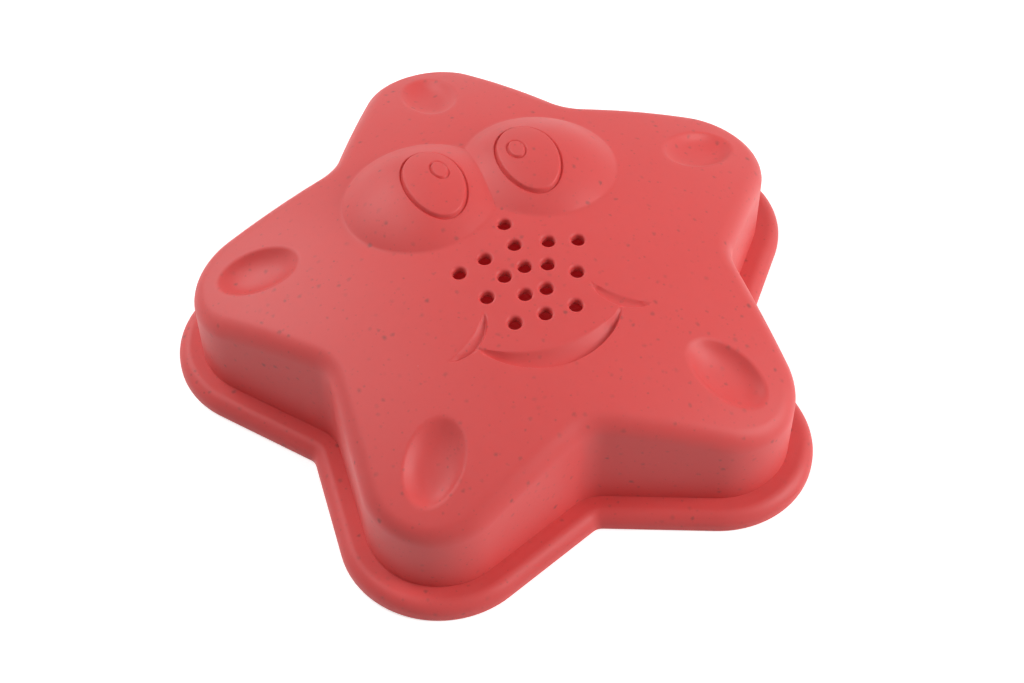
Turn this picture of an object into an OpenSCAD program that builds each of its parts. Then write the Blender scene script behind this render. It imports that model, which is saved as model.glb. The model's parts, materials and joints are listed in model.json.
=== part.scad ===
// Starfish sand mould, lying mouth down on its rim.
// Millimetres, +Z up, +Y towards the arm above the face, origin on the ground in the middle of the
// star's bounding box. The moulding is divided into its named regions, which meet face to face.

/* [Star] */
// Distance from the star's middle to the middle of each arm's round tip
arm_reach = 54; // [50:0.5:60]
// Radius of the arms' round tips, outside the wall
tip_radius = 16.3; // [14.5:0.1:18.5]
// Angle between an arm's flanks and its centre line, in degrees
flank_lean = 32.2; // [29:0.1:35]
// Radius of the hollow corners between the arms, outside the wall
valley_radius = 8.6; // [7.5:0.1:11]

/* [Shell] */
// Thickness of the moulded wall
wall = 1.8; // [1.4:0.1:2.2]
// Height of the middle of the crowned top above the ground
top_height = 38.1; // [34:0.1:46]
// Radius of the ball that the crowned top follows
crown_radius = 163; // [145:1:220]
// Radius of the rounded shoulder between the wall and the top
shoulder_radius = 5; // [3.5:0.1:6]

/* [Rim] */
// Reach of the rim beyond the foot of the wall
rim_reach = 5.7; // [4.6:0.1:6.8]
// Height of the rim's land above the ground
rim_height = 4.5; // [4.3:0.1:7]
// Radius of the rim's rounded outer edge
rim_round = 3.2; // [2.6:0.1:4.2]

/* [Sieve] */
// Diameter of the drain holes
hole_diameter = 3; // [2:0.1:3.6]
// Distance of the sieve's middle below the star's middle
sieve_drop = 9.75; // [8.5:0.05:10.5]
// Land between the outermost drain holes and the edge of the sieve
sieve_land = 1.5; // [0.8:0.1:2]

/* [Eyes] */
// Distance of each dome's middle from the centre line
eye_spread = 14.1; // [12:0.1:16]
// Distance of the domes' middles above the star's middle
eye_rise = 19; // [18:0.1:22]
// Radius of each dome at its foot
eye_radius = 17.6; // [15.5:0.1:18.5]
// Height of each dome above the crowned top
eye_height = 5.3; // [4:0.1:7]
// Distance of each iris's middle from its dome's middle, towards the centre line
iris_in = 3.1; // [2:0.1:4]
// Distance of each iris's middle below its dome's middle
iris_drop = 1.5; // [0:0.1:2.5]
// Width of each upright oval iris
iris_width = 14.3; // [12:0.1:15.5]
// Length of each upright oval iris
iris_length = 21.9; // [18:0.1:23.5]
// Height of each iris above its dome
iris_height = 0.5; // [0.4:0.1:1.4]
// Distance of each pupil's middle from its iris's middle, towards the centre line
pupil_in = 2; // [0:0.1:3]
// Distance of each pupil's middle above its iris's middle
pupil_rise = 2.1; // [0:0.1:4]
// Width of each upright oval pupil
pupil_width = 4.5; // [3:0.1:6]
// Length of each upright oval pupil
pupil_length = 6.6; // [5:0.1:9]
// Height of each pupil above its iris
pupil_height = 0.4; // [0.3:0.1:1]

/* [Dimples] */
// Land between the outer end of each dimple and the shoulder, seen from above
dimple_land = 0.95; // [0.5:0.05:3]
// Length of each dimple along its arm
dimple_length = 18.8; // [15:0.1:20]
// Width of each dimple across its arm
dimple_width = 12.2; // [10:0.1:14]
// Depth of each dimple
dimple_depth = 2.6; // [1:0.1:3]

/* [Smile] */
// Distance between the two corners of the smile
smile_width = 32.4; // [28:0.1:36]
// Distance of the smile's corners below the star's middle
smile_drop = 25.1; // [24.5:0.1:28]
// Sag of the smile's upper edge below its corners
smile_upper_sag = 5.5; // [4:0.1:6.5]
// Sag of the smile's lower edge below its corners
smile_lower_sag = 9.3; // [8:0.1:11]
// Depth of the smile at its lower edge
smile_depth = 1.4; // [0.6:0.1:1.5]
// Length of the crease at each corner of the smile
crease_length = 13; // [10:0.1:15]
// Distance of each crease's middle from its corner of the smile, outwards
crease_out = 1.15; // [0:0.05:2]
// Distance of each crease's middle above its corner of the smile
crease_rise = 3.2; // [2.5:0.1:3.6]
// Slant of the creases below the level, in degrees
crease_slant = 37.8; // [30:0.1:45]
// Sag of each crease's upper edge below its ends
crease_upper_sag = 0.9; // [0.5:0.1:1.4]
// Sag of each crease's lower edge below its ends
crease_lower_sag = 3; // [2.4:0.1:3.6]
// Depth of each crease at its lower edge
crease_depth = 0.8; // [0.4:0.1:1.2]

/* [Hidden] */
$fn = 96;
coral = [0.84, 0.36, 0.35];

// Drain holes, from the sieve's middle: those on the centre line, from the top, and the right one of
// each pair, the outermost first
middle_holes = [12.65, 6.35, 0, -12.65];
outer_holes = [[13.55, 3.45], [10.2, -4.65], [6.85, -12.65]];
inner_holes = [[7.25, 4.95], [4.9, -0.95], [2.4, -6.8]];

arms = 5;
arm_pitch = 360 / arms;
left = -1;
right = 1;
// Spare length of a cutting shape beyond what it cuts
spare = 1;
// Height of a prism that passes right through the top
through = 2 * top_height;
// The star is shifted so that the origin is in the middle of its bounding box
star_shift = arm_reach * (cos(arm_pitch / 2) - 1) / 2;
crown_base = top_height - crown_radius;
// Half of the turn round an arm's tip, and the turn in the corner between two arms
tip_turn = 90 - flank_lean;
valley_turn = 2 * tip_turn - arm_pitch;
outer_reach = arm_reach + tip_radius + rim_reach;
valley_reach = (tip_radius + valley_radius + arm_reach * sin(flank_lean)) / cos(valley_turn / 2);
sieve_middle = [0, -sieve_drop];
// A dome's foot: the bow of the crown within it, and the radius of the ball that rises from it
eye_bow = crown_radius - sqrt(pow(crown_radius, 2) - pow(eye_radius, 2));
eye_ball = (pow(eye_radius, 2) + pow(eye_height + eye_bow, 2)) / (2 * (eye_height + eye_bow));
// Distance from the star's middle to the middle of each dimple, back along the crown from the land
panel_reach = arm_reach + tip_radius - shoulder_radius;
dimple_reach = crown_radius * sin(asin((panel_reach - dimple_land) / crown_radius)
    - asin(dimple_length / 2 / crown_radius));
// Radii of a dimple along and across its arm, for its depth under the crown
dimple_long_radius = 1 / (8 * dimple_depth / pow(dimple_length, 2) - 1 / crown_radius);
dimple_cross_radius = 1 / (8 * dimple_depth / pow(dimple_width, 2) - 1 / crown_radius);
// Steps of the outline round a tip, along a flank and in a corner, over a rounded edge, round an oval
tip_steps = 12;
flank_steps = 3;
valley_steps = 5;
edge_steps = 5;
oval_steps = 40;

function dir(a) = [cos(a), sin(a)];
function arm_angle(k) = 90 + k * arm_pitch;
function tip_middle(k) = arm_reach * dir(arm_angle(k));
function valley_middle(k) = valley_reach * dir(arm_angle(k) + arm_pitch / 2);
function mix(a, b, f) = a + (b - a) * f;
function crown_z(p, r = crown_radius) = crown_base + sqrt(r * r - p * p);
function sag_radius(chord, sag) = (pow(chord / 2, 2) + sag * sag) / (2 * sag);

// A place on the foot of the wall with its outward direction: round tip k, and hollow corner k
function tip_place(k, f) =
    let (a = arm_angle(k) + (2 * f - 1) * tip_turn)
    [tip_middle(k) + tip_radius * dir(a), dir(a)];
function valley_place(k, f) =
    let (a = arm_angle(k) + tip_turn - f * valley_turn)
    [valley_middle(k) - valley_radius * dir(a), dir(a)];
function shifted(place, e) = place[0] + e * place[1];

// Places all the way round the star
function star_places() = [
    for (k = [0:arms - 1], place = concat(
        [for (i = [0:tip_steps]) tip_place(k, i / tip_steps)],
        [for (i = [1:flank_steps - 1]) mix(tip_place(k, 1), valley_place(k, 0), i / flank_steps)],
        [for (i = [0:valley_steps]) valley_place(k, i / valley_steps)],
        [for (i = [1:flank_steps - 1]) mix(valley_place(k, 1), tip_place(k + 1, 0), i / flank_steps)]
    )) place
];

// The star's outline, grown by e
module star(e = 0) {
    polygon([for (place = star_places()) shifted(place, e)]);
}

// An upright oval
module oval(width, length) {
    polygon([for (i = [0:oval_steps - 1])
        let (a = 360 * i / oval_steps)
        [width / 2 * cos(a), length / 2 * sin(a)]]);
}

// A ring of sections, one at each place round the star, joined into a closed solid
module closed_sweep(sections) {
    n = len(sections);
    m = len(sections[0]);
    polyhedron(
        points = [for (section = sections, p = section) p],
        faces = [for (i = [0:n - 1], j = [0:m - 1], half = [0, 1])
            let (
                a = i * m,
                b = (i + 1) % n * m,
                j2 = (j + 1) % m
            )
            half == 0 ? [a + j, a + j2, b + j] : [b + j, a + j2, b + j2]]
    );
}

// The crescent between two arcs that sag below the same chord
module crescent(chord, upper_sag, lower_sag) {
    upper = sag_radius(chord, upper_sag);
    lower = sag_radius(chord, lower_sag);
    difference() {
        translate([0, lower - lower_sag]) circle(lower);
        translate([0, upper - upper_sag]) circle(upper);
    }
}

// A ramp that falls from a crescent's upper edge to depth at its lower edge, besides the crown's fall
module ramp(chord, upper_sag, lower_sag, depth, fall) {
    upper = sag_radius(chord, upper_sag);
    slope = fall + depth / (lower_sag - upper_sag);
    run = 2 * lower_sag;
    translate([0, upper - upper_sag, -run * slope])
        cylinder(h = run * slope, r1 = upper + run, r2 = upper);
}

// A patch of the wall under a crescent, sunk along its ramp
module sunk_crescent(chord, upper_sag, lower_sag, depth, fall = 0) {
    intersection() {
        translate([0, 0, -through / 2])
            linear_extrude(through) crescent(chord, upper_sag, lower_sag);
        difference() {
            ramp(chord, upper_sag, lower_sag, depth, fall);
            translate([0, 0, -wall]) ramp(chord, upper_sag, lower_sag, depth, fall);
        }
    }
}

module on_star() {
    translate([0, star_shift, 0]) children();
}

module crown_ball(r = crown_radius) {
    translate([0, 0, crown_base]) sphere(r);
}

module crown_shell() {
    difference() {
        crown_ball();
        crown_ball(crown_radius - wall);
    }
}

// Local frame that stands on the crown above the point p of the star
module on_crown(p) {
    translate([0, 0, crown_base])
        rotate([0, asin(norm(p) / crown_radius), atan2(p.y, p.x)])
            translate([0, 0, crown_radius]) children();
}

// Prism of the star inside the shoulder, up through the top
module panel_prism() {
    translate([0, 0, rim_height]) linear_extrude(through) star(-shoulder_radius);
}

// Rim

// Section of the rim: up the skirt, over its rounded edge, in along the land and back underneath
function rim_section(place) =
    let (
        round_e = rim_reach - rim_round,
        round_z = rim_height - rim_round,
        profile = concat(
            [[rim_reach, -spare]],
            [for (i = [0:edge_steps])
                [round_e, round_z] + rim_round * dir(90 * i / edge_steps)],
            [[-wall, rim_height], [-wall, rim_height - wall]],
            [for (i = [edge_steps:-1:0])
                [round_e, round_z] + (rim_round - wall) * dir(90 * i / edge_steps)],
            [[rim_reach - wall, -spare]]
        )
    )
    [for (p = profile) [each shifted(place, p[0]), p[1]]];

module rim() {
    color(coral) on_star() difference() {
        closed_sweep([for (place = star_places()) rim_section(place)]);
        translate([-outer_reach, -outer_reach, -2 * spare])
            cube([2 * outer_reach, 2 * outer_reach, 2 * spare]);
    }
}

// Wall and shoulder

module side_wall() {
    color(coral) on_star() intersection() {
        translate([0, 0, rim_height])
            linear_extrude(through) difference() {
                star();
                star(-wall);
            }
        crown_ball(crown_radius - shoulder_radius);
    }
}

// Section of the shoulder at one place: up the outside, over the edge, back along the inside.
// The edge is a ball of shoulder_radius rolled along the corner between the wall and the crown.
function shoulder_section(place) =
    let (
        foot = shifted(place, 0),
        inset = shifted(place, -shoulder_radius),
        deep = shifted(place, -shoulder_radius - spare),
        ball = [inset.x, inset.y, crown_z(inset, crown_radius - shoulder_radius)],
        out = [place[1].x, place[1].y, 0],
        up = (ball - [0, 0, crown_base]) / (crown_radius - shoulder_radius),
        turn = acos(out * up),
        low = crown_z(foot, crown_radius - shoulder_radius) - spare,
        over = [for (i = [0:edge_steps])
            let (f = i / edge_steps)
            (out * sin((1 - f) * turn) + up * sin(f * turn)) / sin(turn)],
        inner = shifted(place, -wall)
    )
    concat(
        [[foot.x, foot.y, low]],
        [for (i = [0:edge_steps]) ball + shoulder_radius * over[i]],
        [[deep.x, deep.y, crown_z(deep)]],
        [[deep.x, deep.y, crown_z(deep, crown_radius - wall)]],
        [for (i = [edge_steps:-1:0]) ball + (shoulder_radius - wall) * over[i]],
        [[inner.x, inner.y, low]]
    );

module shoulder() {
    color(coral) on_star() difference() {
        closed_sweep([for (place = star_places()) shoulder_section(place)]);
        crown_ball(crown_radius - shoulder_radius);
        panel_prism();
    }
}

// Top

// Column over a dome's foot, which keeps a wall's thickness off the shoulder in the corner beside it
module eye_column(side) {
    rise = eye_height + eye_bow + 2 * wall;
    corner = valley_middle(side == left ? 0 : arms - 1);
    difference() {
        on_crown([side * eye_spread, eye_rise])
            translate([0, 0, -rise]) cylinder(h = 2 * rise, r = eye_radius);
        translate(corner) cylinder(h = through, r = valley_radius + shoulder_radius + wall);
    }
}

module eye_footprint(side) {
    intersection() {
        eye_column(side);
        translate([side == right ? 0 : -arm_reach, -arm_reach, 0])
            cube([arm_reach, 2 * arm_reach, through]);
    }
}

module eye_ball_grown(side, e) {
    on_crown([side * eye_spread, eye_rise])
        translate([0, 0, eye_height - eye_ball]) sphere(eye_ball + e);
}

module dimple_frame(k) {
    on_crown(dimple_reach * dir(arm_angle(k))) children();
}

module dimple_footprint(k) {
    dimple_frame(k)
        translate([0, 0, -through / 4])
            linear_extrude(through / 2) rotate(90) oval(dimple_width, dimple_length);
}

// Spindle whose underside is the dish of a dimple, grown by e
module dimple_spindle(k, e) {
    dimple_frame(k)
        translate([0, 0, dimple_cross_radius - dimple_depth])
            rotate([0, 90, 0])
                rotate_extrude() intersection() {
                    translate([dimple_cross_radius - dimple_long_radius, 0])
                        circle(dimple_long_radius + e);
                    translate([0, -through]) square([through, 2 * through]);
                }
}

module smile_frame() {
    corner = [smile_width / 2, -smile_drop];
    translate([0, -smile_drop, crown_z(corner)]) children();
}

module crease_frame(side) {
    middle = [smile_width / 2 + crease_out, -smile_drop + crease_rise];
    mirror([side == right ? 0 : 1, 0, 0])
        on_crown(middle)
            rotate(-atan2(middle.y, middle.x) - crease_slant) children();
}

module smile_footprint() {
    linear_extrude(through)
        translate([0, -smile_drop]) crescent(smile_width, smile_upper_sag, smile_lower_sag);
}

module crease_footprint(side) {
    crease_frame(side)
        translate([0, 0, -through / 4])
            linear_extrude(through / 2) crescent(crease_length, crease_upper_sag, crease_lower_sag);
}

module face_footprints() {
    for (side = [left, right]) {
        eye_column(side);
        crease_footprint(side);
    }
    smile_footprint();
}

module sieve_footprint() {
    edge_holes = concat([[0, middle_holes[0]]], outer_holes);
    right_edge = [for (p = edge_holes) p * (1 + (hole_diameter / 2 + sieve_land) / norm(p))];
    left_edge = [for (i = [len(right_edge) - 1:-1:1]) [-right_edge[i].x, right_edge[i].y]];
    outline = concat(right_edge, left_edge);
    linear_extrude(through)
        translate(sieve_middle) polygon(outline);
}

module top_panel() {
    color(coral) on_star() difference() {
        intersection() {
            panel_prism();
            crown_shell();
        }
        face_footprints();
        sieve_footprint();
        for (k = [0:arms - 1])
            dimple_footprint(k);
    }
}

module sieve_plate() {
    color(coral) on_star() difference() {
        intersection() {
            sieve_footprint();
            crown_shell();
        }
        face_footprints();
        translate(sieve_middle) {
            for (y = middle_holes)
                translate([0, y, 0]) cylinder(h = through, d = hole_diameter);
            for (p = concat(outer_holes, inner_holes), side = [left, right])
                translate([side * p.x, p.y, 0]) cylinder(h = through, d = hole_diameter);
        }
    }
}

module eye_dome(side) {
    color(coral) on_star() intersection() {
        eye_footprint(side);
        difference() {
            eye_ball_grown(side, 0);
            eye_ball_grown(side, -wall);
        }
    }
}

// An upright oval pad between two balls round an eye's middle
module eye_pad(side, x, y, width, length, low, high) {
    color(coral) on_star() intersection() {
        translate([side * x, y, top_height - eye_height])
            linear_extrude(through) oval(width, length);
        difference() {
            eye_ball_grown(side, high);
            eye_ball_grown(side, low);
        }
    }
}

module iris(side) {
    eye_pad(side, eye_spread - iris_in, eye_rise - iris_drop,
        iris_width, iris_length, 0, iris_height);
}

module pupil(side) {
    eye_pad(side, eye_spread - iris_in - pupil_in, eye_rise - iris_drop + pupil_rise,
        pupil_width, pupil_length, iris_height, iris_height + pupil_height);
}

module dimple(k) {
    color(coral) on_star() intersection() {
        dimple_footprint(k);
        difference() {
            crown_ball();
            dimple_spindle(k, 0);
            difference() {
                crown_ball(crown_radius - wall);
                dimple_spindle(k, wall);
            }
        }
    }
}

module smile() {
    middle = smile_drop + smile_upper_sag;
    crown_fall = middle / sqrt(pow(crown_radius, 2) - pow(middle, 2));
    color(coral) on_star() difference() {
        intersection() {
            smile_frame()
                sunk_crescent(smile_width, smile_upper_sag, smile_lower_sag, smile_depth, crown_fall);
            crown_ball();
        }
        for (side = [left, right])
            crease_footprint(side);
    }
}

module smile_corner(side) {
    color(coral) on_star() intersection() {
        crease_frame(side)
            sunk_crescent(crease_length, crease_upper_sag, crease_lower_sag, crease_depth);
        crown_ball();
    }
}

rim();
side_wall();
shoulder();
top_panel();
sieve_plate();
eye_dome(left);  // left_eye_dome
eye_dome(right);  // right_eye_dome
iris(left);  // left_iris
iris(right);  // right_iris
pupil(left);  // left_pupil
pupil(right);  // right_pupil
dimple(0);  // top_arm_dimple
dimple(1);  // upper_left_arm_dimple
dimple(2);  // lower_left_arm_dimple
dimple(3);  // lower_right_arm_dimple
dimple(4);  // upper_right_arm_dimple
smile();
smile_corner(left);  // left_smile_corner
smile_corner(right);  // right_smile_corner
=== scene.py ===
# %% [markdown]
# # A starfish sand mould
#
# The object is a beach toy: one thin shell of coral-red plastic in the shape of a star. It has two
# domed eyes, a smile, a dimple in the end of every arm and a sieve of drain holes where a nose would
# be, and it lies mouth down on its turned-over rim. The lesson makes it in the order in which a
# toolmaker would think of it: the star's outline, the plain crowned blank, the plastic for it, the face,
# the drain holes and the rim, and last the studio round it.

# %% [markdown]
# ## The frame
#
# A CAD model of the same toy holds its real sizes and places, and it is loaded first and never
# changed. Sizes that its nodes show, such as how far the wall reaches, are read from their boxes, so
# these can't drift apart. Radii and depths that no box shows are written where they are first needed,
# and have to be kept to the CAD model's by hand. Plans are drawn in millimetres from the middle of the
# star, and become metres only in the meshes.

# %% Load the frame
import json
import math

import bpy
import numpy as np
from mathutils import Matrix, Vector, geometry, kdtree

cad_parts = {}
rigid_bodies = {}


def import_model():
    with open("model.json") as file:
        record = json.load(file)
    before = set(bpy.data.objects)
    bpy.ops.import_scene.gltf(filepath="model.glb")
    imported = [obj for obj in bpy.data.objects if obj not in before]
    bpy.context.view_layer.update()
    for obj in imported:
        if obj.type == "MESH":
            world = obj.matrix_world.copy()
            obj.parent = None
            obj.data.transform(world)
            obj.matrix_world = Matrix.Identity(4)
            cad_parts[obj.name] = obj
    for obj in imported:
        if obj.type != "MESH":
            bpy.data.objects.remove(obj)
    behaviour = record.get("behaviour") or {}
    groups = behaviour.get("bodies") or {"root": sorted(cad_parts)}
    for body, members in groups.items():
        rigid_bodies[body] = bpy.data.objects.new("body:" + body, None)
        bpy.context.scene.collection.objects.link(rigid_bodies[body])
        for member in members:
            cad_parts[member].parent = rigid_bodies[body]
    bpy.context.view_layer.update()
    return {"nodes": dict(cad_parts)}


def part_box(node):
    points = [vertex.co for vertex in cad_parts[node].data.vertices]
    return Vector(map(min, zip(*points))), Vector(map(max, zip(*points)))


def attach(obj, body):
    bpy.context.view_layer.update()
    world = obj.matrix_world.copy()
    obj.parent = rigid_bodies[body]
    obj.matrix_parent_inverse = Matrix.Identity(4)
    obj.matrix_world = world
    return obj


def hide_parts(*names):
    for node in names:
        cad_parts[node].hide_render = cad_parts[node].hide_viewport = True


for start_object in list(bpy.data.objects):
    bpy.data.objects.remove(start_object)
for start_lamp in list(bpy.data.lights):
    bpy.data.lights.remove(start_lamp)

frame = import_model()
MM = 0.001


def node_box(node):
    """Lowest and highest corner of a CAD node, in millimetres."""
    low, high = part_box(node)
    return low / MM, high / MM


print("CAD nodes:", len(frame["nodes"]))

# %% [markdown]
# ## The star's outline
#
# Seen from above, the wall is a five-armed star. Each arm ends in a round tip, straight flanks run back
# from it, and a smaller hollow curve joins it to the next arm. It could be traced by hand as a Bezier
# curve, but five equal arms follow a rule, so the outline is worked out: an arc, a line, an arc, a line,
# five times. Every place also keeps the direction that faces outwards, because the shoulder and the rim
# are both built along it.

# %% Draw the star's outline
ARMS = 5
ARM_TURN = 2 * math.pi / ARMS
TIP_STEPS = 36
FLANK_STEPS = 20
VALLEY_STEPS = 10

wall_low, wall_high = node_box("side_wall")
tip_radius = 16.3
valley_radius = 8.6
flank_lean = math.radians(32.2)
arm_reach = (wall_high.x - tip_radius) / math.cos(ARM_TURN / 4)
star_y = wall_high.y - tip_radius - arm_reach

tip_turn = math.pi / 2 - flank_lean
valley_turn = 2 * tip_turn - ARM_TURN
flank_offset = tip_radius + valley_radius + arm_reach * math.sin(flank_lean)
valley_reach = flank_offset / math.cos(valley_turn / 2)


def toward(angle):
    """Unit step in the plan."""
    return np.array([math.cos(angle), math.sin(angle)])


def tip_place(arm, share):
    """A place on an arm's round tip, with its outward direction."""
    middle = math.pi / 2 + arm * ARM_TURN
    outward = toward(middle + (2 * share - 1) * tip_turn)
    return np.concatenate([arm_reach * toward(middle) + tip_radius * outward, outward])


def valley_place(arm, share):
    """A place in the hollow corner after an arm, with its outward direction."""
    middle = math.pi / 2 + (arm + 0.5) * ARM_TURN
    outward = toward(middle - ARM_TURN / 2 + tip_turn - share * valley_turn)
    return np.concatenate([valley_reach * toward(middle) - valley_radius * outward, outward])


def stride(first, last, count):
    """Even steps from the first place up to, but not onto, the last."""
    return [first + (last - first) * step / count for step in range(count)]


star = []
for arm in range(ARMS):
    star += [tip_place(arm, step / TIP_STEPS) for step in range(TIP_STEPS)]
    star += stride(tip_place(arm, 1), valley_place(arm, 0), FLANK_STEPS)
    star += [valley_place(arm, step / VALLEY_STEPS) for step in range(VALLEY_STEPS)]
    star += stride(valley_place(arm, 1), tip_place(arm + 1, 0), FLANK_STEPS)
star = np.array(star)
outline, outward = star[:, :2], star[:, 2:]
print("Star outline:", len(outline), "places, arms reach", round(arm_reach + tip_radius, 2), "mm")

# %% [markdown]
# ## The shoulder and the wall
#
# The top is a gentle crown, a patch of a large ball, and it turns down into the upright wall over a soft
# round shoulder. The bevel tool could round that edge, but its width would wander where the crown is
# steep. Here a small ball is rolled along the corner instead: its middle lies on a crown that is smaller
# by the ball's radius, and the shoulder is the arc from where it touches the crown to where it touches
# the wall. The same arc with a smaller radius gives the inside of the moulding.

# %% Roll the shoulder along the outline
SHOULDER_STEPS = 14
WALL_STEPS = 6

wall = 1.8
shoulder_radius = 5.0
crown_radius = 163.0
top_height = node_box("sieve_plate")[1].z
rim_height = node_box("rim")[1].z
crown_middle = np.array([0.0, 0.0, top_height - crown_radius])


def crown_height(plan, radius=crown_radius):
    """Height of the crown over places of the plan."""
    return crown_middle[2] + np.sqrt(radius ** 2 - (plan ** 2).sum(axis=-1))


inset = outline - shoulder_radius * outward
ball = np.column_stack([inset, crown_height(inset, crown_radius - shoulder_radius)])
level = np.column_stack([outward, np.zeros(len(outward))])
upright = (ball - crown_middle) / (crown_radius - shoulder_radius)
roll = np.arccos((level * upright).sum(axis=1))[:, None]


def shoulder_row(share, radius):
    """One line along the shoulder, from the crown at share 0 to the wall at share 1."""
    lean = upright * np.sin((1 - share) * roll) + level * np.sin(share * roll)
    return ball + radius * lean / np.sin(roll)


def wall_row(share, depth):
    """One line along the wall, from the rim at share 0 to the shoulder at share 1."""
    height = rim_height + share * (ball[:, 2] - rim_height)
    return np.column_stack([outline - depth * outward, height])


shoulder_shares = [step / SHOULDER_STEPS for step in range(SHOULDER_STEPS + 1)]
wall_shares = [step / WALL_STEPS for step in range(WALL_STEPS)]
rows = [shoulder_row(share, shoulder_radius) for share in shoulder_shares]
rows += [wall_row(share, 0.0) for share in reversed(wall_shares)]
rows += [wall_row(share, wall) for share in wall_shares]
rows += [shoulder_row(share, shoulder_radius - wall) for share in reversed(shoulder_shares)]
print("Shoulder and wall:", len(rows), "rows; the wall is",
      round(ball[:, 2].min() - rim_height, 1), "to", round(ball[:, 2].max() - rim_height, 1), "mm high")

# %% [markdown]
# ## A plan for the mesh
#
# The face has crisp lines, such as the foot of the smile and the grooves round the irises. On a plain
# grid such lines come out as tiny stairs. So the top gets a plan first: lines of places that run along
# every feature, close together where the surface turns quickly, with an even scatter between them. A
# constrained Delaunay triangulation joins the places and keeps every line as edges of the mesh.

# %% Lay lines along the features
plan_places = []
plan_edges = []


def gaps(places, others):
    """Distance from each place to the nearest of the others."""
    tree = kdtree.KDTree(len(others))
    for number, (x, y) in enumerate(others):
        tree.insert((x, y, 0), number)
    tree.balance()
    return np.array([tree.find((x, y, 0))[2] for x, y in places])


def lay(lines, closed=True, clearance=0.0):
    """Adds lines to the plan, but not where they come near lines that lie there already."""
    before = list(plan_places)
    for line in lines:
        free = gaps(line, before) > clearance if before else np.ones(len(line), bool)
        numbers = []
        for (x, y), fits in zip(line, free):
            numbers.append(len(plan_places) if fits else None)
            if fits:
                plan_places.append((x, y))
        following = numbers[1:] + numbers[:1] if closed else numbers[1:]
        plan_edges.extend(pair for pair in zip(numbers, following) if None not in pair)


def oval(middle, width, length, margin, count):
    """An upright oval line, grown by a margin."""
    turn = np.linspace(0, 2 * math.pi, count, endpoint=False)
    edge = np.column_stack([width / 2 * np.cos(turn), length / 2 * np.sin(turn)])
    normal = edge / np.array([width, length]) ** 2
    normal /= np.linalg.norm(normal, axis=1)[:, None]
    return np.array(middle) + edge + margin * normal


border = rows[0][:, :2]
lay([border])

# %% [markdown]
# The irises and pupils are upright ovals, and their boxes in the frame say where they lie and how large
# they are. The lines round each are closest at its edge, where a fine groove sets it off.

# %% Lay the lines of the eyes
IRIS_STEPS = 120
PUPIL_STEPS = 48
IRIS_MARGINS = (-1.5, -1.15, -0.95, -0.82, -0.7, -0.58, -0.46, -0.36, -0.26, -0.16, -0.06,
                0.06, 0.25, 0.6)
PUPIL_MARGINS = (-1.2, -0.95, -0.8, -0.68, -0.56, -0.44, -0.34, -0.24, -0.14, -0.04, 0.08, 0.3)


def plan_oval(node):
    """Middle, width and length of a node in the plan."""
    low, high = node_box(node)
    middle = np.array([(low.x + high.x) / 2, (low.y + high.y) / 2 - star_y])
    return middle, high.x - low.x, high.y - low.y


iris_middle, iris_width, iris_length = plan_oval("right_iris")
pupil_middle, pupil_width, pupil_length = plan_oval("right_pupil")
MIRROR = np.array([-1.0, 1.0])
for side in (np.ones(2), MIRROR):
    lay([oval(iris_middle * side, iris_width, iris_length, margin, IRIS_STEPS)
         for margin in IRIS_MARGINS])
    lay([oval(pupil_middle * side, pupil_width, pupil_length, margin, PUPIL_STEPS)
         for margin in PUPIL_MARGINS])
print("Plan after the eyes:", len(plan_places), "places")

# %% [markdown]
# Each eye is a dome, part of a ball that rises through the crown. Its foot is the circle where the two
# balls meet, and the two domes meet each other in a crease on the centre line.

# %% Lay the lines of the domes
FOOT_MARGINS = (-2.4, -1.6, -1.0, -0.5, -0.1, 0.3, 0.8, 1.5)
CREASE_LINES = (-0.9, -0.5, -0.25, -0.1, 0.1, 0.25, 0.5, 0.9)
CREASE_CLEAR = 1.3
FOOT_STEPS = 160

dome_spread = 14.1
dome_rise = 19.0
dome_foot = 17.6
dome_height = 5.3
dome_plan = np.array([dome_spread, dome_rise])
dome_axis = np.array([*dome_plan, crown_height(dome_plan) - crown_middle[2]]) / crown_radius
foot_bow = crown_radius - math.sqrt(crown_radius ** 2 - dome_foot ** 2)
dome_radius = (dome_foot ** 2 + (dome_height + foot_bow) ** 2) / (2 * (dome_height + foot_bow))
dome_middle = crown_middle + dome_axis * (crown_radius + dome_height - dome_radius)


def foot_line(margin):
    """The right dome's foot, grown by a margin, outside the crease between the domes."""
    level_axis = np.cross(dome_axis, (0.0, 0.0, 1.0))
    level_axis /= np.linalg.norm(level_axis)
    other_axis = np.cross(dome_axis, level_axis)
    radius = dome_foot + margin
    turn = np.linspace(0, 2 * math.pi, FOOT_STEPS, endpoint=False)[:, None]
    circle = radius * (np.cos(turn) * level_axis + np.sin(turn) * other_axis)
    line = (circle + dome_axis * math.sqrt(crown_radius ** 2 - radius ** 2))[:, :2]
    start = np.argmax(line[:, 0] < CREASE_CLEAR)
    line = np.roll(line, -start, axis=0)
    return line[line[:, 0] > CREASE_CLEAR]


half_crease = math.sqrt(dome_foot ** 2 - dome_spread ** 2) + 1.0
crease_y = dome_rise + np.arange(-half_crease, half_crease, 0.5)
for side in (np.ones(2), MIRROR):
    lay([foot_line(margin) * side for margin in FOOT_MARGINS], closed=False, clearance=0.4)
lay([np.column_stack([np.full(len(crease_y), x), crease_y]) for x in CREASE_LINES], closed=False)
print("Dome ball:", round(dome_radius, 2), "mm in radius; plan:", len(plan_places), "places")

# %% [markdown]
# The smile is a crescent between two arcs over one chord. It falls away from the crown at its upper arc,
# levels out, and ends in a small step just past its lower arc. The short crease at each corner is a
# smaller crescent of the same kind, turned to follow the cheek, so one function lays both.

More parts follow.
